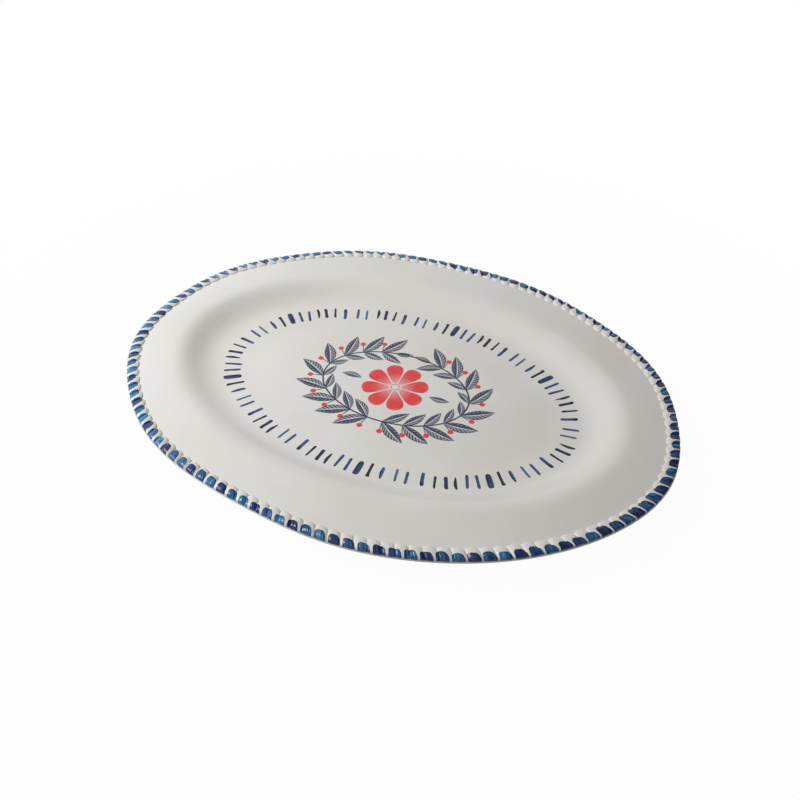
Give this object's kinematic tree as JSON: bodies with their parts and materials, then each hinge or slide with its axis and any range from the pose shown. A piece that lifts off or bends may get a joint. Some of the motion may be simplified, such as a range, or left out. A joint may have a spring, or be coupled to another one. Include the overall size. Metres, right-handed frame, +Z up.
{
  "type": "oval serving platter",
  "caption": "Oval serving platter with a shallow well, a wide level rim, a lobed rope border round the edge, a dashed ring in the well and a foot ring underneath.",
  "frame": {"origin": "on the surface the platter stands on, under the middle of its bounding box", "axes": "+X along the platter's length, +Y across it, +Z up out of the well"},
  "size_m": [0.405, 0.3066, 0.0242],
  "materials": {
    "glaze": "gloss off-white glaze",
    "foot": "satin, glaze worn where it stands",
    "rope": "white lobes with brushed blue dabs under gloss glaze",
    "dash_print": "brushed dashes in blues and charcoal under gloss glaze",
    "centre_print": "line print in ink blue and coral red under gloss glaze"
  },
  "bodies": {
    "root": {"platter_body": "glaze", "foot_ring": "foot", "rope_edge": "rope", "dash_transfer": "dash_print", "centre_transfer": "centre_print"}
  },
  "joints": []
}
